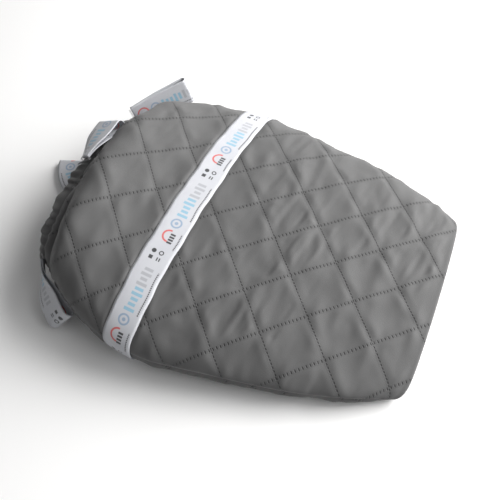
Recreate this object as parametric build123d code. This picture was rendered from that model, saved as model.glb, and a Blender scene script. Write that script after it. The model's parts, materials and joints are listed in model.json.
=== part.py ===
from build123d import *
import math
import os

os.makedirs("parts", exist_ok=True)

# Soft quilted recovery collar, lying on its belly and flattened for storage.
# +X runs from the gathered neck to the open rim, +Y to the far side seam, +Z up.
# The origin is the centre of the flat underside that rests on the floor. Millimetres.

# ---- driving dimensions ----
RIM_X, RIM_HALF, RIM_HIGH = 255.0, 88.0, 18.0           # open rim: place, half width, height
FRONT_X, FRONT_HALF, FRONT_HIGH = 180.0, 113.0, 32.0    # between the rim and the belly
BELLY_X, BELLY_HALF, BELLY_HIGH = 95.0, 128.6, 47.0     # low wide middle
BAND_X, BAND_HALF, BAND_HIGH = 48.0, 134.0, 55.0        # widest place, under the ribbon band
BACK_X, BACK_HALF, BACK_HIGH = 0.0, 124.0, 67.0         # behind the ribbon band
HUMP_X, HUMP_HALF, HUMP_HIGH = -36.0, 104.0, 82.0       # top of the gathered shoulder
NECK_X, NECK_HALF, NECK_HIGH = -62.0, 84.0, 61.0        # where the panels meet the neck casing
MOUTH_X, MOUTH_HALF, MOUTH_HIGH = -74.0, 79.0, 56.0     # outer edge of the neck casing

SEAM_RATIO = 0.45          # height of the side seams over the height of the section
TOP_POWER = 2.2            # superellipse exponent above the side seams
BOTTOM_POWER = 3.0         # and below them
BELLY_SAG = 2.0            # how far the round underside is pressed flat by the floor
REST_PRESS = 0.05          # last trim that leaves the resting face truly flat

FACE_THICK = 0.8           # outer fabric
WADDING_THICK = 3.4        # quilted filling
LINING_THICK = 0.6         # inner fabric
LAYER_GAP = 0.1            # clearance between neighbouring layers
SEAM_GAP = 0.2             # clearance between the two panels at a side seam
RIM_LEAN = 8.0             # how much further the upper panel reaches than the underside

CASING_WALL = 1.6          # gathered fabric on each side of the elastic
ELASTIC_THICK = 2.0        # elastic, gathered inside its casing
ELASTIC_WIDE = 8.0
ELASTIC_GAP = 0.25         # clearance around the elastic

RIBBON_THICK = 0.6
RIBBON_WIDE = 25.0
RIBBON_CLEAR = 0.4         # clearance between the ribbon band and the fabric
REST_MARGIN = 3.0          # from the ribbon band back to the flat resting face
BAND_EASE = 3.2            # looseness of the ribbon band, which slides over the round belly
LAP_GAP = 0.25             # between the ribbon and its overlap
LAP_START, LAP_END = 0.05, 0.6    # angles of the overlap that closes the band, above the far seam

LOOP_LONG = 60.0           # folded ribbon loop, from its stitched root to its fold
LOOP_ROOT_R = 1.1          # half thickness at the stitched root
LOOP_FOLD_R = 2.4          # half thickness at the fold
LOOP_STITCHED = 7.0        # length over which the two layers are sewn together
LOWER_LOOP_OUT = 3.0       # root of the lower loop beyond the neck casing, and its height
TACK_LONG, TACK_WIDE, TACK_THICK = 3.0, 22.0, 0.8    # bar tack under each root
TACK_GAP = 0.3             # clearance between a root and its tack

TAPE_HIGH, TAPE_THICK = 3.0, 0.8
TAPE_CLEAR = 0.4
TAPE_START = 20.0          # distance from the rim to the first end of a seam tape

ARC_POINTS = 17            # points on each curved line of a section
SECTION_STEP = 26.0        # longest distance between neighbouring sections
FLOOR_BLOCK = 1000.0       # cutting block under the floor, larger than the whole collar

KEY_SECTIONS = [
    (RIM_X, RIM_HALF, RIM_HIGH),
    (FRONT_X, FRONT_HALF, FRONT_HIGH),
    (BELLY_X, BELLY_HALF, BELLY_HIGH),
    (BAND_X, BAND_HALF, BAND_HIGH),
    (BACK_X, BACK_HALF, BACK_HIGH),
    (HUMP_X, HUMP_HALF, HUMP_HIGH),
    (NECK_X, NECK_HALF, NECK_HIGH),
]
BAND_START = BAND_X - RIBBON_WIDE / 2
BAND_END = BAND_X + RIBBON_WIDE / 2
REST_END = BAND_START - REST_MARGIN       # end of the flat resting face
REST_STEP = 1.5                           # length over which the underside steps up there
BAND_ROOM = RIBBON_THICK + RIBBON_CLEAR    # room under the fabric for the band to pass
FACE_IN = FACE_THICK + LAYER_GAP                  # depth of the wadding's outer face
WADDING_IN = FACE_IN + WADDING_THICK              # depth of the wadding's inner face
LINING_OUT = WADDING_IN + LAYER_GAP               # depth of the lining's outer face
LINING_IN = LINING_OUT + LINING_THICK             # depth of the hollow


def slope(keys, k, item):
    """Slope of a size at key section k, from its neighbours."""
    before, after = keys[max(k - 1, 0)], keys[min(k + 1, len(keys) - 1)]
    return (after[item] - before[item]) / (after[0] - before[0])


def station(x):
    """Place, half width and height of the section at x, on a smooth curve through the keys."""
    keys = KEY_SECTIONS
    k = next(k for k in range(len(keys) - 1) if keys[k + 1][0] <= x <= keys[k][0])
    span = keys[k + 1][0] - keys[k][0]
    t = (x - keys[k][0]) / span
    sizes = []
    for item in (1, 2):
        start, end = keys[k][item], keys[k + 1][item]
        rise, fall = span * slope(keys, k, item), span * slope(keys, k + 1, item)
        near = (1 + 2 * t) * (1 - t) ** 2 * start + t * t * (3 - 2 * t) * end
        sizes.append(near + t * (1 - t) ** 2 * rise - t * t * (1 - t) * fall)
    return (x, sizes[0], sizes[1])


def stretch(start, end):
    """Sections from start down to end, at the ends and at regular places between them."""
    count = math.ceil((start - end) / SECTION_STEP)
    return [station(start + (end - start) * k / count) for k in range(count + 1)]


def stations(start):
    """Sections from start to the neck, with a pair where the underside steps down to rest."""
    return stretch(start, REST_END + REST_STEP) + stretch(REST_END, NECK_X)


def floor_at(x):
    """Height of the underside at x: the band needs room to slide off beyond its own place."""
    return BAND_ROOM if x > REST_END else -REST_PRESS


def casing_station(share):
    """Section of the neck casing, at a share of its length from the panels."""
    x = NECK_X - LAYER_GAP
    return (
        x + share * (MOUTH_X - x),
        NECK_HALF + share * (MOUTH_HALF - NECK_HALF),
        NECK_HIGH + share * (MOUTH_HIGH - NECK_HIGH),
    )


def superellipse(reach, rise, power, turn):
    """A point of a superellipse at the angle turn, as its distances along Y and Z."""
    across = reach * abs(math.cos(turn)) ** (2 / power)
    up = rise * abs(math.sin(turn)) ** (2 / power)
    return math.copysign(across, math.cos(turn)), math.copysign(up, math.sin(turn))


def lean_back(x, z, high):
    """The rim edge leans: the underside ends behind the top."""
    return x - RIM_LEAN * (1 - z / high) if x >= RIM_X else x


def arc(station, depth, start, end, gap=SEAM_GAP):
    """Points of a section from the angle start to end, sunk by depth below the outer face."""
    x, half, high = station
    seam = SEAM_RATIO * high
    upper = (start + end) > 0
    rise = high - seam - depth if upper else seam + BELLY_SAG - depth
    power = TOP_POWER if upper else BOTTOM_POWER
    points = []
    for k in range(ARC_POINTS):
        turn = start + (end - start) * k / (ARC_POINTS - 1)
        y, z = superellipse(half - depth, rise, power, turn)
        z += seam + (gap / 2 if upper else -gap / 2)
        points.append((lean_back(x, z, high), y, z))
    return points


def upper_line(station, depth, gap=SEAM_GAP):
    """The open line over the top of a section, from the far seam to the near seam."""
    return [Spline(*arc(station, depth, 0, math.pi, gap))]


def flat_turn(station, depth):
    """The angle at which the round side meets the flat underside."""
    seam = SEAM_RATIO * station[2]
    share = (seam - floor_at(station[0]) - depth) / (seam + BELLY_SAG - depth)
    return math.asin(share ** (BOTTOM_POWER / 2))


def lower_line(station, depth, gap=SEAM_GAP):
    """The open line under a section: round side, flat underside, round side."""
    turn = flat_turn(station, depth)
    far = Spline(*arc(station, depth, 0, -turn, gap))
    near = Spline(*arc(station, depth, -math.pi + turn, -math.pi, gap))
    return [far, Line(far @ 1, near @ 0), near]


def shell_section(line, place, outer, inner):
    """Closed outline of a layer between two depths."""
    outside = line(place, outer)
    inside = line(place, inner)
    ends = [Line(outside[0] @ 0, inside[0] @ 0), Line(outside[-1] @ 1, inside[-1] @ 1)]
    return Wire(outside + inside + ends)


def upper_shell(places, outer, inner):
    """Layer of the upper half between two depths."""
    wires = [shell_section(upper_line, place, outer, inner) for place in places]
    return Solid.make_loft(wires, True)


def lower_shell(places, outer, inner):
    """Layer of the lower half between two depths, before it is cut flat where it rests."""
    wires = [shell_section(lower_line, place, outer, inner) for place in places]
    return Solid.make_loft(wires, True)


def single(shape):
    """The one solid of a boolean result."""
    return max(shape.solids(), key=lambda solid: solid.volume)


def save(name, shape):
    """Write one piece."""
    shape.label = name
    export_step(shape, f"parts/{name}.step")


def pressed(shape):
    """Cut the underside truly flat where it rests."""
    floor = Pos(0, 0, -FLOOR_BLOCK / 2) * Box(FLOOR_BLOCK, FLOOR_BLOCK, FLOOR_BLOCK)
    return single(shape - floor)


def panels():
    """Face fabric, wadding and lining of the upper and the lower panel."""
    layers = {
        "face_fabric": (0.0, FACE_THICK),
        "wadding": (FACE_IN, WADDING_IN),
        "lining": (LINING_OUT, LINING_IN),
    }
    for layer, (outer, inner) in layers.items():
        places = stations(RIM_X)
        save(f"upper_{layer}", upper_shell(places, outer, inner))
        save(f"lower_{layer}", pressed(lower_shell(places, outer, inner)))


def neck():
    """Gathered casing in an upper and a lower half, with the elastic inside it."""
    groove_in = CASING_WALL + ELASTIC_THICK + 2 * ELASTIC_GAP
    inner = groove_in + CASING_WALL
    long = NECK_X - LAYER_GAP - MOUTH_X
    places = [casing_station(0), casing_station(1)]
    groove = [casing_station(0), casing_station((ELASTIC_WIDE + 2 * ELASTIC_GAP) / long)]
    upper = upper_shell(places, 0, inner) - upper_shell(groove, CASING_WALL, groove_in)
    save("upper_neck_casing", single(upper))
    lower = lower_shell(places, 0, inner) - lower_shell(groove, CASING_WALL, groove_in)
    save("lower_neck_casing", pressed(lower))
    depth = CASING_WALL + ELASTIC_GAP
    start, end = ELASTIC_GAP / long, (ELASTIC_GAP + ELASTIC_WIDE) / long
    places = [casing_station(start), casing_station(end)]
    save("neck_elastic", closed_ring(places, depth, depth + ELASTIC_THICK))


def closed_ring(places, outer, inner):
    """Closed sleeve between two depths, all the way round."""
    solids = []
    for depth in (outer, inner):
        wires = [
            Wire(upper_line(place, depth, 0) + lower_line(place, depth, 0))
            for place in places
        ]
        solids.append(Solid.make_loft(wires, True))
    return single(solids[0] - solids[1])


def seam_tapes():
    """Bindings over the raw seam allowances, along both sides of the hollow."""
    for name, side in (("near_seam_tape", -1), ("far_seam_tape", 1)):
        wires = []
        for x, half, high in stations(RIM_X - TAPE_START):
            seam = SEAM_RATIO * high
            rise = min(seam + BELLY_SAG, high - seam) - LINING_IN
            inside = half - LINING_IN
            narrow = inside * (1 - (1 - (TAPE_HIGH / 2 / rise) ** TOP_POWER) ** (1 / TOP_POWER))
            out = side * (inside - narrow - TAPE_CLEAR)
            back = out - side * TAPE_THICK
            low, top = seam - TAPE_HIGH / 2, seam + TAPE_HIGH / 2
            corners = [(x, out, low), (x, out, top), (x, back, top), (x, back, low)]
            wires.append(Wire.make_polygon(corners, close=True))
        save(name, Solid.make_loft(wires, True))


def ribbon_band():
    """Closed ribbon round the body, free to slide off over the narrower rim."""
    places = []
    for x in (BAND_END, BAND_X, BAND_START):
        high = station(x)[2]
        places.append((x, BAND_HALF + BAND_EASE, high + BAND_EASE))
    save("ribbon_band", closed_ring(places, -BAND_ROOM, -RIBBON_CLEAR))
    wires = []
    for place in places:
        near = Spline(*arc(place, -BAND_ROOM - LAP_GAP, LAP_START, LAP_END, 0))
        far = Spline(*arc(place, -BAND_ROOM - LAP_GAP - RIBBON_THICK, LAP_START, LAP_END, 0))
        wires.append(Wire([near, far, Line(near @ 0, far @ 0), Line(near @ 1, far @ 1)]))
    save("ribbon_band_lap", Solid.make_loft(wires, True))


def loop_profile():
    """Folded ribbon seen along its width: sewn flat at the root, open at the fold."""
    def drop(start, root_r, fold_r):
        root = Pos(start + root_r, 0) * Circle(root_r)
        fold = Pos(LOOP_LONG - LOOP_FOLD_R, 0) * Circle(fold_r)
        return make_hull((root + fold).edges())
    inner = drop(LOOP_STITCHED, LOOP_ROOT_R - RIBBON_THICK, LOOP_FOLD_R - RIBBON_THICK)
    return drop(-LOOP_ROOT_R, LOOP_ROOT_R, LOOP_FOLD_R) - inner


LOWER_ROOT = (MOUTH_X - LOWER_LOOP_OUT, 6.0, LOWER_LOOP_OUT)

# Each loop: hinge point on its stitched root, directions of its length and of its width,
# and the direction that faces away from the neck casing.
LOOPS = {
    "upper": ((-66.0, 2.0, 66.0), (0.0, 1.0, -0.08), (0.79, 0.0, 0.61), (-0.3, 0.0, 1.0)),
    "near": ((-66.5, -85.5, 31.0), (0.66, -0.64, -0.30), (0.35, -0.1, 1.0), (-0.3, -1.0, 0.0)),
    "far": ((-66.5, 86.6, 37.0), (0.66, 0.72, 0.20), (-0.3, 0.05, 1.0), (-0.3, 1.0, 0.0)),
    "lower": (LOWER_ROOT, (-1.0, 0.0, 0.0), (0.0, 1.0, 0.0), (-1.0, 0.0, 0.0)),
}


def unit(v):
    """The vector at length one."""
    size = math.sqrt(sum(c * c for c in v))
    return [c / size for c in v]


def squared(v, axis):
    """The part of v at right angles to the unit vector axis, at length one."""
    lean = sum(a * b for a, b in zip(v, axis))
    return unit([a - lean * b for a, b in zip(v, axis)])


def shifted(point, direction, distance):
    """The point moved along the direction."""
    return [p + distance * d for p, d in zip(point, direction)]


def loops():
    """Four folded ribbon loops that hold the pet's own collar, and the tacks at their roots."""
    profile = loop_profile()
    for name, (point, along, across, outward) in LOOPS.items():
        across = unit(across)
        along = squared(along, across)
        outward = squared(outward, across)
        frame = Plane(origin=point, x_dir=along, z_dir=across)
        loop = extrude(profile, RIBBON_WIDE / 2, both=True)
        save(f"{name}_collar_loop", single(frame.location * loop))
        back = LOOP_ROOT_R + TACK_GAP + TACK_THICK / 2
        tack = Box(TACK_THICK, TACK_LONG, TACK_WIDE)
        place = Plane(origin=shifted(point, outward, -back), x_dir=outward, z_dir=across)
        save(f"{name}_loop_tack", place.location * tack)


panels()
neck()
seam_tapes()
ribbon_band()
loops()
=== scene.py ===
import json
import math
import bpy
import numpy as np
from mathutils import Matrix, Vector


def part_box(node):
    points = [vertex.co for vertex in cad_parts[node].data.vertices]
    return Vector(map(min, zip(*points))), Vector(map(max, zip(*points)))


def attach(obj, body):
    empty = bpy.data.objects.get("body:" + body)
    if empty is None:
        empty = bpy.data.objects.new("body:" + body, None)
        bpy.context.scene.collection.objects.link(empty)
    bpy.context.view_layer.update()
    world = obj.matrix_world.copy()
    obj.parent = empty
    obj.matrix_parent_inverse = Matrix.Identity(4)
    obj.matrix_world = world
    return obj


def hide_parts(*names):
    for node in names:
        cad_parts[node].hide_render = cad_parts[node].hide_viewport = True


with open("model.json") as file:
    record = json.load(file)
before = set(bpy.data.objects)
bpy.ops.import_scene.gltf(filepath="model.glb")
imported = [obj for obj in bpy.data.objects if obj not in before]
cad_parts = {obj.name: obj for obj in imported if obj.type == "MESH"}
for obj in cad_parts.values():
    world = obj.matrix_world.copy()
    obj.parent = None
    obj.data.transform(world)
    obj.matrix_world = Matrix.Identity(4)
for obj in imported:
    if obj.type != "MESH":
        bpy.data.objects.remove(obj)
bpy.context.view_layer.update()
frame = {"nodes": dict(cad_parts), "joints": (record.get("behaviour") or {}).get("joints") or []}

NODES = frame["nodes"]
MM = 0.001

# ---- camera: where it stands and how it looks ----
CAMERA_PLACE = (0.2487, -0.2850, 0.4917)
CAMERA_LOOK = (-0.2729, 0.4865, -0.8300)
CAMERA_ROLL = math.radians(-7.87)
CAMERA_LENS = 47.7

# ---- how the collar's sections are drawn, as in the frame ----
TOP_POWER = 2.2                # 2 is an ellipse and more is squarer
BOTTOM_POWER = 3.0
BELLY_SAG = 2.0 * MM           # how far the curve underneath would dip below the floor
RIM_LEAN = 8.0 * MM            # how far the rim's foot stands behind its top
RIM_CORNER = 3.5 * MM          # how far the rim is rounded off at the side seams
RIM_CORNER_POWER = 16          # the higher, the shorter the rounding
LAYERS = 5.0 * MM              # fabric, wadding and lining together
HEM_RADIUS = 2.5 * MM          # of the rim's rounded edge
HEM_DEEP = 16 * MM             # how far the fabric goes back inside the rim
SKIN = 0.05 * MM               # points this near one place lie in one section
FULL_SECTION = 140             # fewest mesh points in a section drawn all the way round

# ---- how the ribbon band lies ----
BAND_BACK = 7.5 * MM           # nearer the neck than the frame has it
BAND_SLANT = 0.055             # and further still towards the near side, per metre across

RIBBON_WIDE = 25 * MM

# ---- quilting ----
CELL = 38.0 * MM               # side of a diamond
QUILT_START = 87.0 * MM        # from the rim to the first row of crossings on the centre line
QUILT_ASIDE = 4.7 * MM         # from the centre line to that row's first crossing
QUILT_SKEW = -0.098            # how much the rows turn from square
PUFF = 1.7 * MM                # height of the puffed diamonds


def smoothstep(start, end, x):
    t = np.clip((x - start) / (end - start), 0, 1)
    return t * t * (3 - 2 * t)


def bell(x, middle, width):
    return np.exp(-(((x - middle) / width) ** 2))


def noise(a, b, size_a, size_b, seed):
    """Smooth noise from -1 to 1 over two coordinates, with grains of the given sizes."""
    table = np.random.default_rng(seed).uniform(-1, 1, (97, 97))
    a, b = a / size_a + 31.3, b / size_b + 41.7
    ia, ib = np.floor(a).astype(int), np.floor(b).astype(int)
    fa, fb = a - ia, b - ib
    fa, fb = fa * fa * (3 - 2 * fa), fb * fb * (3 - 2 * fb)
    ia, ja, ib, jb = ia % 97, (ia + 1) % 97, ib % 97, (ib + 1) % 97
    low = table[ia, ib] * (1 - fa) + table[ja, ib] * fa
    high = table[ia, jb] * (1 - fa) + table[ja, jb] * fa
    return low * (1 - fb) + high * fb


# ---- the collar's body, measured from the frame ----
def points_of(name):
    mesh = NODES[name].data
    points = np.empty(len(mesh.vertices) * 3)
    mesh.vertices.foreach_get("co", points)
    return points.reshape(-1, 3)


def measured_sections():
    """Place, half width, seam height and top height of each section, from the neck to the rim."""
    casing, fabric = points_of("upper_neck_casing"), points_of("upper_face_fabric")
    rows = [(casing[:, 0].min(), casing), (fabric[:, 0].min(), fabric)]
    for place in np.unique(fabric[:, 0].round(4)):
        full = np.sum(np.abs(fabric[:, 0] - place) < SKIN) > FULL_SECTION
        clear = place - rows[-1][0] > 3 * MM and place < fabric[:, 0].max() - RIM_LEAN - 2 * MM
        if full and clear:
            rows.append((place, fabric))
    sizes = []
    for place, points in rows:
        group = points[np.abs(points[:, 0] - place) < SKIN]
        sizes.append((place, abs(group[:, 1]).max(), group[:, 2].min(), group[:, 2].max()))
    rim = fabric[fabric[:, 0] > fabric[:, 0].max() - RIM_LEAN]
    sizes.append((rim[:, 0].max(), abs(rim[:, 1]).max(), rim[:, 2].min(), rim[:, 2].max()))
    return np.array(sizes)


SECTIONS = measured_sections()
MOUTH_X, RIM_X = SECTIONS[0, 0], SECTIONS[-1, 0]
NECK_X = points_of("upper_face_fabric")[:, 0].min()
FINE_X = np.linspace(MOUTH_X - 0.01, RIM_X + 0.01, 700)


def smooth_size(column):
    """One size of the section along the whole collar, on a smooth curve."""
    places, values = SECTIONS[:, 0], SECTIONS[:, column]
    slopes = np.gradient(values, places)
    k = np.clip(np.searchsorted(places, FINE_X) - 1, 0, len(places) - 2)
    span = places[k + 1] - places[k]
    s = np.clip((FINE_X - places[k]) / span, 0, 1)
    eased = values[k] + (values[k + 1] - values[k]) * s * s * (3 - 2 * s)
    eased = eased + span * (slopes[k] * s * (1 - s) ** 2 - slopes[k + 1] * s * s * (1 - s))
    kernel = np.exp(-(np.linspace(-2, 2, 13) ** 2))
    padded = np.pad(eased, 6, mode="reflect", reflect_type="odd")
    return np.convolve(padded, kernel / kernel.sum(), mode="valid")


FINE_HALF, FINE_SEAM, FINE_HIGH = smooth_size(1), smooth_size(2), smooth_size(3)


def half_at(x):
    return np.interp(x, FINE_X, FINE_HALF)


def seam_at(x):
    return np.interp(x, FINE_X, FINE_SEAM)


def high_at(x):
    return np.interp(x, FINE_X, FINE_HIGH)


RUN_X = np.linspace(RIM_X, MOUTH_X - 0.01, 600)
RUN = np.concatenate([[0], np.cumsum(np.hypot(np.diff(RUN_X), np.diff(high_at(RUN_X))))])


def run_at(x):
    """Distance along the fabric from the rim, over the top."""
    return np.interp(-x, -RUN_X, RUN)


def place_at(run):
    return np.interp(run, RUN, RUN_X)


BAND_LOW, BAND_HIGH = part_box("ribbon_band")
REST_END = BAND_LOW[0] - 3 * MM
BAND_ROOM = 1.0 * MM


def quarter(x, depth, upper, share):
    """Points of a section at the shares from its centre line (0) to the side seams (-1 and 1).

    Returns the points' Y and Z and their distance from the centre line along the fabric."""
    turn = np.linspace(math.pi / 2, 0, 160)
    half, seam, high = half_at(x) - depth, seam_at(x), high_at(x)
    power = TOP_POWER if upper else BOTTOM_POWER
    rise = high - seam - depth if upper else -(seam + BELLY_SAG - depth)
    y = half * np.cos(turn) ** (2 / power)
    z = seam + rise * np.sin(turn) ** (2 / power)
    if not upper:
        floor = depth + BAND_ROOM * smoothstep(REST_END - 4 * MM, REST_END, x)
        z = np.maximum(z, floor)
    length = np.concatenate([[0], np.cumsum(np.hypot(np.diff(y), np.diff(z)))])
    at = np.abs(share) * length[-1]
    return np.sign(share) * np.interp(at, length, y), np.interp(at, length, z), np.sign(share) * at


def surface(rows, shares, upper):
    """The bare surface of a panel for rows of (x, depth): points and distances from the centre line."""
    points = np.empty((len(rows), len(shares), 3))
    across = np.empty((len(rows), len(shares)))
    for k, (x, depth) in enumerate(rows):
        y, z, q = quarter(min(x, RIM_X), depth, upper, shares)
        lean = RIM_LEAN * (1 - z / high_at(x)) * smoothstep(RIM_X - 45 * MM, RIM_X, x)
        corner = np.abs(y / half_at(x)) ** RIM_CORNER_POWER
        lean = lean + RIM_CORNER * corner * smoothstep(RIM_X - 30 * MM, RIM_X, x)
        points[k] = np.stack([x - lean, y, z], axis=-1)
        across[k] = q
    return points, across


def normals(points):
    """Outward normals of a grid of points."""
    along = np.gradient(points, axis=0)
    around = np.gradient(points, axis=1)
    found = np.cross(along, around)
    length = np.linalg.norm(found, axis=-1, keepdims=True)
    return found / np.maximum(length, 1e-12)


# ---- the quilted fabric ----
def lattice(run, across):
    """Quilting coordinates: whole numbers of the first and of the second are weld lines."""
    forward = (QUILT_START - run + QUILT_SKEW * across) / CELL
    aside = (across + QUILT_ASIDE) / CELL
    return (forward + aside) / math.sqrt(2), (forward - aside) / math.sqrt(2)


def to_line(value):
    """Distance to the nearest weld line of one family."""
    return np.abs(value - np.round(value)) * CELL


def puffs(i, j):
    """Height of the plain quilting: pillows between the weld lines."""
    near_a, near_b = to_line(i), to_line(j)
    pillow = (1 - np.exp(-near_a / (4 * MM))) * (1 - np.exp(-near_b / (4 * MM)))
    return PUFF * pillow


SHEET_STEP = 2.3 * MM          # spacing of the simulated sheet
SHEET_LONG, SHEET_WIDE = 370 * MM, 340 * MM
SIMULATED_FRAMES = 22
SLACK = 0.05                   # extra fabric along the collar, which creases it


def simulated_quilt():
    """Heights of a flat quilted sheet, welded along the lattice and puffed by its filling."""
    rows, columns = int(SHEET_LONG / SHEET_STEP), int(SHEET_WIDE / SHEET_STEP)
    run, across = np.meshgrid(
        np.arange(rows) * SHEET_STEP, (np.arange(columns) - columns / 2) * SHEET_STEP, indexing="ij"
    )
    i, j = lattice(run, across)
    start = 0.3 * MM * noise(run, across, 6 * MM, 20 * MM, 21) + 0.4 * MM
    welded = np.minimum(to_line(i), to_line(j)) < 0.55 * SHEET_STEP
    welded[[0, -1], :] = True
    welded[:, [0, -1]] = True
    start[welded] = 0.0
    flat = np.stack([run, across, start], axis=-1)
    sheet = grid_object("quilt_sheet", flat)
    sheet.shape_key_add(name="drawn_in")
    longer = sheet.shape_key_add(name="cut_length")
    extra = SLACK * (0.7 + 0.6 * noise(run, across, 60 * MM, 60 * MM, 22))
    extra = extra * (0.2 + 0.8 * smoothstep(200 * MM, 110 * MM, run))
    stretched = flat.copy()
    longer_run = run[:1] + np.cumsum(SHEET_STEP * (1 + extra[1:]), axis=0)
    stretched[..., 0] = np.concatenate([run[:1], longer_run])
    longer.data.foreach_set("co", stretched.reshape(-1).astype(np.float32))
    pins = sheet.vertex_groups.new(name="welds")
    pins.add(np.flatnonzero(welded.reshape(-1)).tolist(), 1.0, "REPLACE")
    cloth = sheet.modifiers.new("cloth", "CLOTH")
    cloth.settings.quality = 4
    cloth.settings.mass = 0.12
    cloth.settings.tension_stiffness = 25
    cloth.settings.compression_stiffness = 25
    cloth.settings.shear_stiffness = 8
    cloth.settings.bending_stiffness = 0.04
    cloth.settings.air_damping = 2.0
    cloth.settings.vertex_group_mass = "welds"
    cloth.settings.rest_shape_key = longer
    cloth.settings.use_pressure = True
    cloth.settings.uniform_pressure_force = 4.0
    cloth.settings.effector_weights.gravity = 0.0
    cloth.collision_settings.use_collision = False
    cloth.point_cache.frame_start = 1
    cloth.point_cache.frame_end = SIMULATED_FRAMES
    scene = bpy.context.scene
    for number in range(1, SIMULATED_FRAMES + 1):
        scene.frame_set(number)
    result = sheet.evaluated_get(bpy.context.evaluated_depsgraph_get()).data
    shape = np.empty(len(result.vertices) * 3)
    result.vertices.foreach_get("co", shape)
    scene.frame_set(1)
    data = sheet.data
    bpy.data.objects.remove(sheet)
    bpy.data.meshes.remove(data)
    height = shape.reshape(rows, columns, 3)[..., 2]
    height = height * np.sign(height[rows // 4: rows // 2].mean())
    for axis in (0, 1, 0, 1):
        height = 0.5 * height + 0.25 * (np.roll(height, 1, axis=axis) + np.roll(height, -1, axis=axis))
    return np.clip(height * PUFF / np.percentile(height, 88), -0.2 * MM, 1.5 * PUFF)


def sampled(table, run, across):
    """The sheet's height at places between its points."""
    a = np.clip(run / SHEET_STEP, 0, table.shape[0] - 1.001)
    b = np.clip(across / SHEET_STEP + table.shape[1] / 2, 0, table.shape[1] - 1.001)
    ia, ib = a.astype(int), b.astype(int)
    fa, fb = a - ia, b - ib
    low = table[ia, ib] * (1 - fa) + table[ia + 1, ib] * fa
    high = table[ia, ib + 1] * (1 - fa) + table[ia + 1, ib + 1] * fa
    return low * (1 - fb) + high * fb


def wrinkles(run, across, i, j):
    """Soft creases across the collar, flat at the weld lines."""
    inside = smoothstep(0, 9 * MM, np.minimum(to_line(i), to_line(j)))
    streaks = noise(run + 0.2 * across, across, 4.6 * MM, 46 * MM, 5)
    streaks = np.sign(streaks) * np.abs(streaks) ** 1.3
    soft = noise(run, across, 26 * MM, 30 * MM, 9)
    slack = 0.15 + 0.85 * smoothstep(190 * MM, 120 * MM, run)
    patchy = smoothstep(-0.5, 0.5, noise(run, across, 45 * MM, 45 * MM, 12))
    return inside * slack * (1.7 * MM * patchy * streaks + 0.3 * MM * soft)


def turn_share(share, upper):
    """Share of the way round the collar, from the far seam over the top."""
    return 0.25 - 0.25 * share if upper else 0.75 + 0.25 * share


def ruffle(turn):
    """Gathers round the neck, about one each 8 mm, from -1 to 1."""
    uneven = turn + 0.004 * np.sin(14 * math.pi * turn + 1) + 0.003 * np.sin(26 * math.pi * turn)
    size = 0.7 + 0.3 * np.cos(18 * math.pi * uneven + 2)
    return size * np.cos(88 * math.pi * uneven)


def gathers(run, turn):
    """Folds that run in from the gathered neck."""
    left = np.maximum(run_at(NECK_X) - run, 0)
    long = np.cos(22 * math.pi * turn + 0.7) + 0.7 * np.cos(34 * math.pi * turn + 2.1)
    height = 0.8 * MM * long * np.exp(-left / (20 * MM)) * smoothstep(-2 * MM, 14 * MM, left)
    height = height + 1.7 * MM * ruffle(turn) * np.exp(-left / (6 * MM))
    return height - 2.0 * MM * np.exp(-left / (4 * MM))


def big_folds(run, turn):
    """The collapsed places that show most: a deep crease near the neck and a dent behind it."""
    left = run_at(NECK_X) - run
    near = smoothstep(0.31, 0.37, turn) * (1 - smoothstep(0.52, 0.60, turn))
    crease_at = 15 * MM + 6 * MM * (turn - 0.4) / 0.1 * 0.4
    crease = -4.5 * MM * bell(left, crease_at, 3.2 * MM) * near
    roll = 1.6 * MM * bell(left, 8 * MM, 5 * MM) * near
    dent = -5.0 * MM * bell(left, 24 * MM, 13 * MM) * bell(turn, 0.085, 0.035)
    return crease + roll + dent


def band_slip(y):
    """How far the ribbon band has slipped towards the neck, most at the near side."""
    return -BAND_BACK + BAND_SLANT * y


def under_band(x, y):
    """The fabric is pressed in under the ribbon band."""
    middle, half = (BAND_LOW[0] + BAND_HIGH[0]) / 2, (BAND_HIGH[0] - BAND_LOW[0]) / 2
    away = np.abs(x - middle - band_slip(y)) - half
    return 1 - smoothstep(-1 * MM, 3.5 * MM, away)


def quilting(run, across):
    """Height of the quilting over the bare panel."""
    i, j = lattice(run, across)
    if QUILT is None:
        height = puffs(i, j) + wrinkles(run, across, i, j)
    else:
        height = sampled(QUILT, run, across) + 0.8 * wrinkles(run, across, i, j)
    return height * (0.35 + 0.65 * smoothstep(0, 10 * MM, run))


def collapse(run, turn):
    """Depth of the folds that all the layers share."""
    return gathers(run, turn) + big_folds(run, turn)


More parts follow.
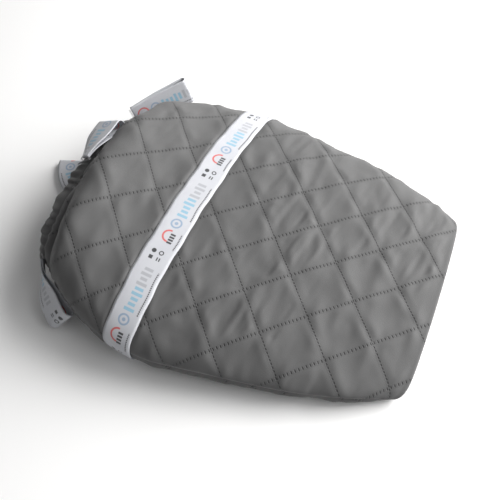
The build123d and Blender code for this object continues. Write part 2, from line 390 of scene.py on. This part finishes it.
# ---- mesh helpers ----
def grid_object(name, points, uv=None, flip=False, round_it=False, tube=False):
    """A smooth quad mesh over a grid of points.

    A tube's last column is its first, its two faces lie a cloth's thickness apart, and its
    ends are closed unless it goes round_it, when its last row is its first."""
    rows, columns = points.shape[:2]
    place = np.arange(rows * columns).reshape(rows, columns)
    sides = [place[:-1, :-1], place[:-1, 1:], place[1:, 1:], place[1:, :-1]]
    corners = np.stack(sides, axis=-1).reshape(-1, 4)
    if tube and not round_it:
        near, far = place[:, :columns // 2], place[:, -2:columns // 2 - 1:-1]
        first = [near[0, 1:], near[0, :-1], far[0, :-1], far[0, 1:]]
        last = [near[-1, :-1], near[-1, 1:], far[-1, 1:], far[-1, :-1]]
        corners = np.concatenate([corners, np.stack(first, axis=-1), np.stack(last, axis=-1)])
    if flip:
        corners = corners[:, ::-1]
    if tube:
        place[:, -1] = place[:, 0]
    if round_it:
        place[-1] = place[0]
    used, quads = np.unique(place.reshape(-1)[corners], return_inverse=True)
    mesh = bpy.data.meshes.new(name)
    mesh.vertices.add(len(used))
    mesh.vertices.foreach_set("co", points.reshape(-1, 3)[used].reshape(-1).astype(np.float32))
    mesh.loops.add(corners.size)
    mesh.loops.foreach_set("vertex_index", quads.reshape(-1).astype(np.int32))
    mesh.polygons.add(len(corners))
    mesh.polygons.foreach_set("loop_start", (np.arange(len(corners)) * 4).astype(np.int32))
    mesh.update(calc_edges=True)
    if uv is not None:
        layer = mesh.uv_layers.new(name="cloth")
        values = uv.reshape(-1, 2)[corners.reshape(-1)]
        layer.data.foreach_set("uv", values.reshape(-1).astype(np.float32))
    mesh.polygons.foreach_set("use_smooth", np.ones(len(corners), dtype=bool))
    mesh.validate()
    piece = bpy.data.objects.new(name, mesh)
    bpy.context.scene.collection.objects.link(piece)
    return piece


def dress(piece, material, body):
    """Gives a piece its material and its body."""
    piece.data.materials.clear()
    piece.data.materials.append(material)
    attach(piece, body)
    return piece


# ---- materials ----
class Shader:
    """A small writer of node materials."""

    def __init__(self, name, roughness, **inputs):
        self.material = bpy.data.materials.new(name)
        self.material.use_nodes = True
        self.tree = self.material.node_tree
        self.bsdf = self.tree.nodes["Principled BSDF"]
        self.bsdf.inputs["Roughness"].default_value = roughness
        for key, value in inputs.items():
            self.bsdf.inputs[key.replace("_", " ")].default_value = value

    def link(self, source, target):
        self.tree.links.new(source, target)

    def node(self, kind, **sockets):
        made = self.tree.nodes.new(kind)
        for key, value in sockets.items():
            if hasattr(value, "node"):
                self.link(value, made.inputs[key])
            else:
                made.inputs[key].default_value = value
        return made

    def math(self, operation, *values, clamp=False):
        made = self.tree.nodes.new("ShaderNodeMath")
        made.operation = operation
        made.use_clamp = clamp
        for socket, value in zip(made.inputs, values):
            if hasattr(value, "node"):
                self.link(value, socket)
            else:
                socket.default_value = value
        return made.outputs[0]

    def coordinates(self):
        """The two cloth coordinates."""
        uv = self.tree.nodes.new("ShaderNodeUVMap")
        uv.uv_map = "cloth"
        split = self.node("ShaderNodeSeparateXYZ", Vector=uv.outputs[0])
        return split.outputs[0], split.outputs[1]

    def place(self):
        return self.tree.nodes.new("ShaderNodeTexCoord").outputs["Object"]

    def noise(self, scale, detail=2.0, vector=None):
        made = self.tree.nodes.new("ShaderNodeTexNoise")
        made.inputs["Scale"].default_value = scale
        made.inputs["Detail"].default_value = detail
        self.link(vector or self.place(), made.inputs["Vector"])
        return made.outputs[0]

    def mix(self, factor, first, second):
        """Colour between first and second."""
        made = self.tree.nodes.new("ShaderNodeMix")
        made.data_type = "RGBA"
        sockets = [s for s in made.inputs if s.type == "RGBA"]
        self.link(factor, made.inputs[0])
        for socket, value in zip(sockets, (first, second)):
            if hasattr(value, "node"):
                self.link(value, socket)
            else:
                socket.default_value = (*value, 1)
        return [s for s in made.outputs if s.type == "RGBA"][0]

    def within(self, value, low, high, soft):
        """1 between low and high, 0 outside, over a soft edge."""
        up = self.step(value, low - soft / 2, low + soft / 2)
        down = self.step(value, high - soft / 2, high + soft / 2)
        return self.math("SUBTRACT", up, down)

    def step(self, value, start, end):
        made = self.node("ShaderNodeMapRange", Value=value)
        made.interpolation_type = "SMOOTHSTEP"
        for name, number in (("From Min", start), ("From Max", end), ("To Min", 0.0), ("To Max", 1.0)):
            made.inputs[name].default_value = number
        return made.outputs[0]

    def bump(self, height, distance):
        made = self.node("ShaderNodeBump", Height=height)
        made.inputs["Strength"].default_value = 1.0
        made.inputs["Distance"].default_value = distance
        self.link(made.outputs[0], self.bsdf.inputs["Normal"])

    def color(self, source):
        self.link(source, self.bsdf.inputs["Base Color"])


DASH = 3.0 * MM / CELL         # pitch of the weld marks, in cells


def weld_marks(shader, i, j):
    """Rows of short bars along one family of lines, and of dashes along the other."""
    def off(value):
        rounded = shader.math("ROUND", value)
        return shader.math("ABSOLUTE", shader.math("SUBTRACT", value, rounded))

    def beat(value):
        return shader.math("FRACT", shader.math("DIVIDE", value, DASH))

    reach = shader.math("SUBTRACT", 1.0, shader.step(off(j), 0.9 * MM / CELL, 1.4 * MM / CELL))
    bars = shader.math("MULTIPLY", reach, shader.within(beat(i), 0.34, 0.62, 0.20))
    reach = shader.math("SUBTRACT", 1.0, shader.step(off(i), 0.30 * MM / CELL, 0.70 * MM / CELL))
    dashes = shader.math("MULTIPLY", reach, shader.within(beat(j), 0.18, 0.78, 0.16))
    return shader.math("MAXIMUM", bars, dashes), off(i), off(j)


def quilted_fabric(name, base, dark):
    """Plain woven polyester with welded quilting, and painted shade that darkens the fabric along the
    weld valleys.
    """
    shader = Shader(name, 0.78, Sheen_Weight=0.12, Sheen_Roughness=0.5, Specular_IOR_Level=0.25)
    i, j = shader.coordinates()
    marks, off_i, off_j = weld_marks(shader, i, j)
    # painted shade: the colour is darkened towards the dark grey within 3 mm of each weld line, where
    # the puffed fabric dips into its valleys
    valley_shade = shader.math("MINIMUM", off_i, off_j)
    valley_shade = shader.math("SUBTRACT", 1.0, shader.step(valley_shade, 0.0, 3.0 * MM / CELL))
    cloud = shader.noise(28.0, 3.0)
    shade = shader.mix(cloud, [c * 0.93 for c in base], [c * 1.07 for c in base])
    shade = shader.mix(shader.math("MULTIPLY", valley_shade, 0.18), shade, dark)
    shade = shader.mix(shader.math("MULTIPLY", marks, 0.62), shade, dark)
    shader.color(shade)
    weave = weave_height(shader, 0.55 * MM / CELL, i, j)
    height = shader.math("MULTIPLY", weave, 0.05)
    height = shader.math("ADD", height, shader.math("MULTIPLY", shader.noise(900.0, 2.0), 0.12))
    height = shader.math("SUBTRACT", height, marks)
    shader.bump(height, 0.35 * MM)
    return shader.material


def weave_height(shader, pitch, a, b):
    """Threads over and under, from two crossed waves."""
    wave_a = shader.math("SINE", shader.math("MULTIPLY", a, 2 * math.pi / pitch))
    wave_b = shader.math("SINE", shader.math("MULTIPLY", b, 2 * math.pi / pitch))
    return shader.math("MULTIPLY", wave_a, wave_b)


REPEAT = 90.0 * MM             # one repeat of the print along the ribbon


class Print:
    """The ribbon's print: plain generic marks that repeat along it."""

    def __init__(self, shader):
        self.shader = shader
        along, self.across = shader.coordinates()
        share = shader.math("FRACT", shader.math("DIVIDE", along, REPEAT))
        self.along = shader.math("MULTIPLY", share, REPEAT)

    def bar(self, start, end, low, high):
        soft = 0.5 * MM
        along = self.shader.within(self.along, start, end, soft)
        return self.shader.math("MULTIPLY", along, self.shader.within(self.across, low, high, soft))

    def from_point(self, along, across):
        a = self.shader.math("SUBTRACT", self.along, along)
        b = self.shader.math("SUBTRACT", self.across, across)
        squares = [self.shader.math("MULTIPLY", v, v) for v in (a, b)]
        return self.shader.math("SQRT", self.shader.math("ADD", *squares))

    def ring(self, along, across, radius, thick):
        away = self.from_point(along, across)
        return self.shader.within(away, radius - thick / 2, radius + thick / 2, 0.4 * MM)

    def dot(self, along, across, radius):
        away = self.from_point(along, across)
        return self.shader.math("SUBTRACT", 1.0, self.shader.step(away, radius, radius + 0.4 * MM))

    def dashes(self, start, end, middle, pitch):
        line = self.bar(start, end, middle - 0.55 * MM, middle + 0.55 * MM)
        beat = self.shader.math("FRACT", self.shader.math("DIVIDE", self.along, pitch))
        return self.shader.math("MULTIPLY", line, self.shader.within(beat, 0.12, 0.80, 0.2))

    def join(self, masks):
        joined = masks[0]
        for mask in masks[1:]:
            joined = self.shader.math("MAXIMUM", joined, mask)
        return joined


def printed_ribbon():
    """White satin ribbon with generic marks in grey, pale blue, red and black."""
    shader = Shader("printed_ribbon", 0.45, Sheen_Weight=0.1, Specular_IOR_Level=0.4)
    ink = Print(shader)
    middle = 12.5 * MM
    heights = (4.2, 5.0, 3.4, 5.0, 4.2, 5.2, 3.6, 3.6, 5.0)
    bars = []
    for k, high in enumerate(heights):
        start = (5 + 4.4 * k) * MM
        bars.append(ink.bar(start, start + 2.6 * MM, middle - high * MM, middle + (high - 1.2) * MM))
    grey, blue = ink.join(bars[:4]), ink.join(bars[4:])
    swirl = ink.join([ink.ring(50 * MM, middle, 4.0 * MM, 1.5 * MM), ink.dot(50 * MM, middle, 1.3 * MM)])
    arc = ink.ring(63 * MM, middle, 5.2 * MM, 1.5 * MM)
    arc = shader.math("MULTIPLY", arc, shader.step(ink.across, middle - 1 * MM, middle))
    black = []
    for k in range(4):
        start = (60 + 2.6 * k) * MM
        black.append(ink.bar(start, (61.7 + 2.6 * k) * MM, middle - 4.6 * MM, middle - 0.4 * MM))
    black.append(ink.dashes(6 * MM, 44 * MM, 3.6 * MM, 1.7 * MM))
    black.append(ink.dashes(58 * MM, 74 * MM, 3.6 * MM, 1.5 * MM))
    black.append(ink.dot(79.5 * MM, middle + 3.8 * MM, 1.7 * MM))
    black.append(ink.ring(79.5 * MM, middle - 2.6 * MM, 1.6 * MM, 0.9 * MM))
    black.append(ink.bar(84 * MM, 87.2 * MM, middle + 2.2 * MM, middle + 5.4 * MM))
    black.append(ink.bar(84 * MM, 87.2 * MM, middle - 4.2 * MM, middle - 3.2 * MM))
    black.append(ink.bar(84 * MM, 87.2 * MM, middle - 2.2 * MM, middle - 1.2 * MM))
    shade = shader.mix(shader.noise(60.0), (0.50, 0.51, 0.55), (0.57, 0.58, 0.61))
    for mask, colour, strength in (
        (grey, (0.36, 0.37, 0.40), 0.8),
        (blue, (0.20, 0.42, 0.56), 0.8),
        (swirl, (0.22, 0.32, 0.46), 0.8),
        (arc, (0.60, 0.06, 0.05), 0.85),
        (ink.join(black), (0.012, 0.012, 0.014), 0.92),
    ):
        shade = shader.mix(shader.math("MULTIPLY", mask, strength), shade, colour)
    shader.color(shade)
    along = shader.coordinates()[0]
    ribs = shader.math("SINE", shader.math("MULTIPLY", along, 2 * math.pi / (0.5 * MM)))
    shader.bump(ribs, 0.05 * MM)
    return shader.material


def plain_cloth(name, base, scale=1400.0, rough=0.85):
    """Close fabric, fleece, tape or thread without quilting."""
    shader = Shader(name, rough, Sheen_Weight=0.1)
    shade = shader.mix(shader.noise(45.0, 3.0), [c * 0.88 for c in base], [c * 1.1 for c in base])
    shader.color(shade)
    shader.bump(shader.noise(scale, 3.0), 0.25 * MM)
    return shader.material


FABRIC = quilted_fabric("grey_quilted_fabric", (0.100, 0.100, 0.101), (0.02, 0.02, 0.021))
LINING = quilted_fabric("grey_lining", (0.150, 0.150, 0.150), (0.05, 0.05, 0.052))
RIBBON = printed_ribbon()
FLEECE = plain_cloth("white_wadding", (0.80, 0.80, 0.78), 500.0, 0.95)
TAPE = plain_cloth("seam_binding", (0.10, 0.10, 0.104))
ELASTIC = plain_cloth("woven_elastic", (0.55, 0.55, 0.54))
THREAD = plain_cloth("tack_thread", (0.42, 0.42, 0.44), 2500.0)


# ---- pieces ----
def rows_of_panel(step):
    """Rows from the facing inside the rim, round its edge and along the outside to the neck."""
    facing = [(x, LAYERS) for x in np.arange(RIM_X - HEM_DEEP, RIM_X - HEM_RADIUS, 2 * MM)]
    edge = []
    for turn in np.linspace(-math.pi / 2, math.pi / 2, 13):
        x = RIM_X - HEM_RADIUS + HEM_RADIUS * math.cos(turn)
        edge.append((x, HEM_RADIUS - HEM_RADIUS * math.sin(turn)))
    count = int(run_at(NECK_X) / step)
    outside = [(place_at(run), 0.0) for run in np.linspace(HEM_RADIUS + step, run_at(NECK_X), count)]
    return facing + edge + outside, len(facing) + len(edge)


class Panel:
    """One quilted half of the collar as a grid: places, outward directions and fold depths."""

    def __init__(self, upper, step):
        rows, self.hem = rows_of_panel(step)
        widest = quarter((BAND_LOW[0] + BAND_HIGH[0]) / 2, 0, upper, np.array([1.0]))[2][0]
        self.shares = np.linspace(-1, 1, int(2 * widest / step))
        self.bare, self.across = surface(rows, self.shares, upper)
        run = run_at(np.array([min(row[0], RIM_X) for row in rows]))
        self.run = run[:, None] + 0 * self.across
        self.turn = turn_share(self.shares, upper)[None, :] + 0 * self.across
        self.outward = normals(self.bare)
        middle = self.outward[len(rows) // 2, len(self.shares) // 2, 2]
        if upper != (middle > 0):
            self.outward = -self.outward
        self.seam = smoothstep(1.0, 0.965, np.abs(self.shares))[None, :]
        self.folds = collapse(self.run, self.turn)
        self.upper = upper
        self.past_hem = np.ones((len(rows), 1))
        self.past_hem[:self.hem] = 0.0
        self.past_hem[self.hem:self.hem + 8, 0] = np.linspace(0, 1, 8)

    def raised(self, quilt_share, offset, fold_share=1.0):
        """The panel's points with its quilting and folds, at an offset from the bare surface."""
        press = under_band(self.bare[..., 0], self.bare[..., 1])
        height = quilting(self.run, self.across) * quilt_share * (1 - press) * self.past_hem
        height = height * self.seam - 0.9 * MM * (1 - self.seam) * self.past_hem
        if not self.upper:
            under = smoothstep(-0.35, -0.8, self.outward[..., 2])
            height = height * (1 - under)
        height = height + self.folds * fold_share * self.past_hem + offset
        points = self.bare + self.outward * height[..., None]
        points[..., 2] = np.maximum(points[..., 2], 0.3 * MM - offset)
        return points

    def cloth(self):
        return np.stack(lattice(self.run, self.across), axis=-1)


def panel(name, upper, step):
    """A quilted panel's outer fabric, with its hem turned in at the rim."""
    half = Panel(upper, step)
    return grid_object(name, half.raised(1.0, 0.0), half.cloth(), flip=not upper)


def wadding(name, upper):
    """The filling between the fabric and the lining, closed round its edges."""
    half = Panel(upper, 4 * MM)
    start = half.hem + 1
    outer = half.raised(0.3, -1.5 * MM)[start:, 2:-2]
    inner = half.raised(0.0, -4.0 * MM, 0.9)[start:, 2:-2]
    points = np.concatenate([outer, inner[:, ::-1], outer[:, :1]], axis=1)
    return grid_object(name, points, None, flip=not upper, tube=True)


def inner_lining(name, upper):
    """The lining inside a panel, drawn in at the welds."""
    half = Panel(upper, 3 * MM)
    start = half.hem + 1
    i, j = lattice(half.run, half.across)
    inward = 0.35 * puffs(i, j) * half.seam
    points = half.raised(0.0, -LAYERS - 0.2 * MM, 0.9) - half.outward * inward[..., None]
    return grid_object(name, points[start:], half.cloth()[start:], flip=upper)


def neck_half(name, upper):
    """Gathered casing round the elastic: out along the neck, over the mouth and back inside."""
    long = NECK_X - MOUTH_X
    path = []
    for share in np.linspace(-0.12, 0.8, 10):
        depth = 0.2 * MM - 1.7 * MM * math.sin(math.pi * max(share, 0))
        path.append((NECK_X - share * long, depth))
    for turn in np.linspace(math.pi / 2, -math.pi / 2, 9)[1:]:
        x = MOUTH_X + 2.4 * MM - 2.8 * MM * math.cos(turn)
        path.append((x, 2.6 * MM - 3.2 * MM * math.sin(turn)))
    for share in np.linspace(0.7, -0.1, 6):
        path.append((NECK_X - share * long, 5.7 * MM))
    shares = np.linspace(-1, 1, 520)
    points, across = surface(path, shares, upper)
    turn = turn_share(shares, upper)
    centre = np.array([0.0, 0.0, seam_at(MOUTH_X)])
    radial = (points - centre) * np.array([0, 1, 1])
    radial /= np.linalg.norm(radial, axis=-1, keepdims=True)
    place = np.linspace(0, 1, len(path))
    size = 1.5 * MM * smoothstep(0, 0.25, place) * (1 - 0.75 * smoothstep(0.65, 1, place))
    points += radial * (ruffle(turn)[None, :, None] * size[:, None, None])
    sway = 1.3 * MM * np.sin(26 * math.pi * turn + 1.3) * smoothstep(0.2, 0.5, place)[:, None]
    points[..., 0] += sway * (1 - smoothstep(0.6, 1.0, place))[:, None]
    points[..., 2] = np.maximum(points[..., 2], 0.2 * MM)
    i, j = lattice(run_at(points[..., 0]), across)
    between_welds = np.stack([i * 0.01 + 0.4, j * 0.01 + 0.4], axis=-1)
    return grid_object(name, points, between_welds, flip=not upper)


def ring(x, lift, count):
    """Points round the whole collar at x, lifted off the surface, from the bottom centre."""
    shares = np.linspace(0, 1, count // 4, endpoint=False)
    low = np.stack(quarter(x, -lift, False, shares)[:2], axis=-1)
    high = np.stack(quarter(x, -lift, True, 1 - shares)[:2], axis=-1)
    top = np.stack(quarter(x, -lift, True, np.array([0.0]))[:2], axis=-1)
    far = np.concatenate([low, high])
    near = far[1:][::-1] * np.array([-1, 1])
    return np.concatenate([far, top, near])


def band_edge_lines(lift, columns, count):
    """Lines round the collar for one face of the band, each where the slipped band lies."""
    wide = BAND_HIGH[0] - BAND_LOW[0]
    places = np.linspace(BAND_LOW[0] - 20 * MM, BAND_HIGH[0] + 5 * MM, 14)
    rings = np.array([ring(x, lift, count) for x in places])
    around = np.linspace(0, 2 * math.pi, rings.shape[1], endpoint=False)
    waver = 0.35 * MM * (np.sin(9 * around + 1) + 0.6 * np.sin(23 * around))
    index = np.arange(rings.shape[1])
    lines = []
    for share in np.linspace(0, 1, columns):
        x = BAND_LOW[0] + share * wide + waver + band_slip(rings[8, :, 0])
        at = (x - places[0]) / (places[1] - places[0])
        k = np.clip(at.astype(int), 0, len(places) - 2)
        part = (at - k)[:, None]
        yz = rings[k, index] * (1 - part) + rings[k + 1, index] * part
        lines.append(np.column_stack([x, yz]))
    return np.array(lines).transpose(1, 0, 2)


def ribbon_band():
    """The printed ribbon round the body, close to the fabric."""
    columns = 11
    inner, outer = (band_edge_lines(lift, columns, 720) for lift in (0.65 * MM, 1.15 * MM))
    inner[..., 2] = np.maximum(inner[..., 2], 0.2 * MM)
    outer[..., 2] = np.maximum(outer[..., 2], 0.1 * MM)
    points = np.concatenate([outer, inner[:, ::-1], outer[:, :1]], axis=1)
    middle = outer[:, columns // 2]
    step = np.linalg.norm(np.roll(middle, -1, axis=0) - middle, axis=-1)
    length = np.concatenate([[0], np.cumsum(step)])
    wide = BAND_HIGH[0] - BAND_LOW[0]
    across = np.linspace(wide, 0, columns)
    across = np.concatenate([across, across[::-1], across[:1]])
    points = np.concatenate([points, points[:1]], axis=0)
    uv = np.stack(np.meshgrid(length, across, indexing="ij"), axis=-1)
    return grid_object("ribbon_band_cloth", points, uv, flip=True, round_it=True, tube=True)


def unit(vector):
    return np.array(vector) / np.linalg.norm(vector)


def loop_frame(name):
    """Root, direction of length, direction of width and normal of a loop, from its joint and box."""
    joint = next(j for j in frame["joints"] if j["name"] == f"{name}_loop_flop")
    root = np.array(joint["pos_m"])
    across = unit(joint["axis"])
    points = points_of(f"{name}_collar_loop")
    away = points.mean(axis=0) - root
    along = unit(away - np.dot(away, across) * across)
    return root, along, across, np.cross(across, along)


def ribbon_loop(name, long, bend, pinch, puff, twist, swing, print_start, forward=0.0):
    """A folded ribbon loop: out from its root, round the fold and back, pinched at the root.

    It arches by bend, turns about its length by twist and drifts sideways by swing. Its root
    lies forward of its tack, on the panel."""
    root, along, across, normal = loop_frame(name)
    root = root + np.array([forward, -0.4 * forward, 1.1 * forward])
    wide, thick = RIBBON_WIDE, 0.6 * MM
    path = []
    for share in np.linspace(0, 1, 40):
        lift = (0.6 + puff * share ** 1.5) * MM
        path.append((share * (long - lift - 0.5 * MM), lift))
    fold = path[-1][1]
    centre = path[-1][0]
    for turn in np.linspace(math.pi / 2, -math.pi / 2, 16)[1:-1]:
        path.append((centre + fold * math.cos(turn), fold * math.sin(turn)))
    path = path + [(a, -b) for a, b in reversed(path[:40])]
    path = np.array(path)
    tangent = np.gradient(path, axis=0)
    tangent /= np.linalg.norm(tangent, axis=-1, keepdims=True)
    side = np.stack([-tangent[:, 1], tangent[:, 0]], axis=-1)
    length = np.concatenate([[0], np.cumsum(np.linalg.norm(np.diff(path, axis=0), axis=-1))])
    shares = np.linspace(-0.5, 0.5, 13)
    sheets = []
    for offset in (thick / 2, -thick / 2):
        line = path + side * offset
        far = np.clip(line[:, :1] / long, 0, 1)
        width = wide * (1 - pinch * (1 - smoothstep(0, 0.55, far))) * shares[None, :]
        curl = pinch * 3 * MM * (1 - smoothstep(0, 0.7, far)) * (1 - (2 * shares[None, :]) ** 2)
        lift = line[:, 1:2] + curl + bend * np.sin(math.pi * far) * MM
        turned = math.radians(twist) * smoothstep(0, 0.7, far)
        drift = np.maximum(math.radians(swing) * far, 1e-6)
        out = line[:, :1] * np.sin(drift) / drift
        aside = line[:, :1] * (1 - np.cos(drift)) / drift
        side_u = width * np.cos(turned) - lift * np.sin(turned)
        side_n = width * np.sin(turned) + lift * np.cos(turned)
        points = (
            root
            + (out - side_u * np.sin(drift))[..., None] * along
            + (aside + side_u * np.cos(drift))[..., None] * across
            + side_n[..., None] * normal
        )
        sheets.append(points)
    points = np.concatenate([sheets[0], sheets[1][:, ::-1], sheets[0][:, :1]], axis=1)
    v = (shares + 0.5) * wide
    v = np.concatenate([v, v[::-1], v[:1]])
    uv = np.stack(np.meshgrid(length + print_start, v, indexing="ij"), axis=-1)
    return grid_object(f"{name}_loop_ribbon", points, uv, tube=True)


def bar_tack(name):
    """Zigzag of thread that sews a loop's root down."""
    along, across = loop_frame(name)[1:3]
    low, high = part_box(f"{name}_loop_tack")
    middle = (np.array(low) + np.array(high)) / 2
    steps = 34
    curve = bpy.data.curves.new(f"{name}_thread", "CURVE")
    curve.dimensions = "3D"
    curve.bevel_depth = 0.28 * MM
    curve.bevel_resolution = 2
    line = curve.splines.new("POLY")
    line.points.add(steps)
    for k in range(steps + 1):
        sideways = (k / steps - 0.5) * 21 * MM
        place = middle + sideways * across + (1.2 * MM if k % 2 else -1.2 * MM) * along
        line.points[k].co = (*place, 1)
    holder = bpy.data.objects.new(f"{name}_thread", curve)
    mesh = bpy.data.meshes.new_from_object(holder)
    bpy.data.objects.remove(holder)
    piece = bpy.data.objects.new(f"{name}_loop_stitches", mesh)
    bpy.context.scene.collection.objects.link(piece)
    mesh.polygons.foreach_set("use_smooth", np.ones(len(mesh.polygons), dtype=bool))
    return piece


# Each loop's length, arch, pinch, puff, twist and swing, where its print starts, and how far
# its root is brought forward.
LOOPS = {
    "upper": (48 * MM, 2.0, 0.5, 3.6, -16, -10, 0.010, 6 * MM),
    "near": (58 * MM, -5.0, 0.6, 3.6, 34, -8, 0.015),
    "far": (60 * MM, 1.0, 0.1, 2.4, 0, -12, 0.040),
    "lower": (60 * MM, 1.0, 0.1, 1.6, 0, 75, 0.0),
}


def build():
    upper = panel("upper_panel", True, 1.3 * MM)
    lower = panel("lower_panel", False, 2.0 * MM)
    for piece, node in ((upper, "upper_face_fabric"), (lower, "lower_face_fabric")):
        dress(piece, FABRIC, "collar")
        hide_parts(node)
    for name, upper in (("upper", True), ("lower", False)):
        casing = dress(neck_half(f"{name}_neck_gathers", upper), FABRIC, "collar")
        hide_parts(f"{name}_neck_casing")
        filling = dress(wadding(f"{name}_filling", upper), FLEECE, "collar")
        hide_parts(f"{name}_wadding")
        lining = dress(inner_lining(f"{name}_lining_cloth", upper), LINING, "collar")
        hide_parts(f"{name}_lining")
    band = dress(ribbon_band(), RIBBON, "band")
    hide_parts("ribbon_band", "ribbon_band_lap")
    for name, shape in LOOPS.items():
        loop = dress(ribbon_loop(name, *shape), RIBBON, f"{name}_loop")
        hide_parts(f"{name}_collar_loop")
        stitches = dress(bar_tack(name), THREAD, "collar")
        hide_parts(f"{name}_loop_tack")
    repaint("near_seam_tape", TAPE)
    repaint("far_seam_tape", TAPE)
    repaint("neck_elastic", ELASTIC)


def repaint(name, material):
    """A frame piece that keeps its shape gets its real material."""
    node = NODES[name]
    if not node.material_slots:
        node.data.materials.append(material)
    for slot in node.material_slots:
        slot.material = material


# ---- floor, light and camera ----
def stage():
    size = 6.0
    corners = [(-size, -size, 0), (size, -size, 0), (size, size, 0), (-size, size, 0)]
    mesh = bpy.data.meshes.new("floor")
    mesh.from_pydata([(x, y, z - 0.0001) for x, y, z in corners], [], [(0, 1, 2, 3)])
    floor = bpy.data.objects.new("floor", mesh)
    bpy.context.scene.collection.objects.link(floor)
    shader = Shader("pale_floor", 0.9, Specular_IOR_Level=0.1)
    shader.color(shader.mix(shader.noise(2.0), (0.93, 0.93, 0.93), (0.95, 0.95, 0.95)))
    mesh.materials.append(shader.material)
    world = bpy.data.worlds.new("studio")
    world.use_nodes = True
    world.node_tree.nodes["Background"].inputs[0].default_value = (1, 1, 1, 1)
    world.node_tree.nodes["Background"].inputs[1].default_value = 0.22
    bpy.context.scene.world = world


def lamp(name, place, target, size, power, colour=(1, 1, 1)):
    data = bpy.data.lights.new(name, "AREA")
    data.shape = "SQUARE"
    data.size = size
    data.energy = power
    data.color = colour
    lamp_object = bpy.data.objects.new(name, data)
    lamp_object.location = place
    lamp_object.rotation_euler = (Vector(target) - Vector(place)).to_track_quat("-Z", "Y").to_euler()
    bpy.context.scene.collection.objects.link(lamp_object)


def camera():
    data = bpy.data.cameras.new("camera")
    data.lens = CAMERA_LENS
    data.sensor_width = 36
    data.clip_start = 0.01
    look = Vector(CAMERA_LOOK).normalized()
    right = look.cross(Vector((0, 0, 1))).normalized()
    up = right.cross(look)
    rolled = right * math.cos(CAMERA_ROLL) + up * math.sin(CAMERA_ROLL)
    up = rolled.cross(look)
    turned = Matrix((rolled, up, -look)).transposed().to_4x4()
    made = bpy.data.objects.new("camera", data)
    made.matrix_world = Matrix.Translation(Vector(CAMERA_PLACE)) @ turned
    bpy.context.scene.collection.objects.link(made)
    bpy.context.scene.camera = made


camera()
stage()
lamp("key", (1.0, 0.85, 0.6), (0.14, 0.0, 0.0), 1.3, 54.0, (1.0, 0.992, 0.98))
lamp("top", (1.1, 0.1, 0.8), (0.2, 0.0, 0.0), 1.0, 7.0)
bpy.context.scene.view_settings.view_transform = "Standard"
QUILT = simulated_quilt()
build()
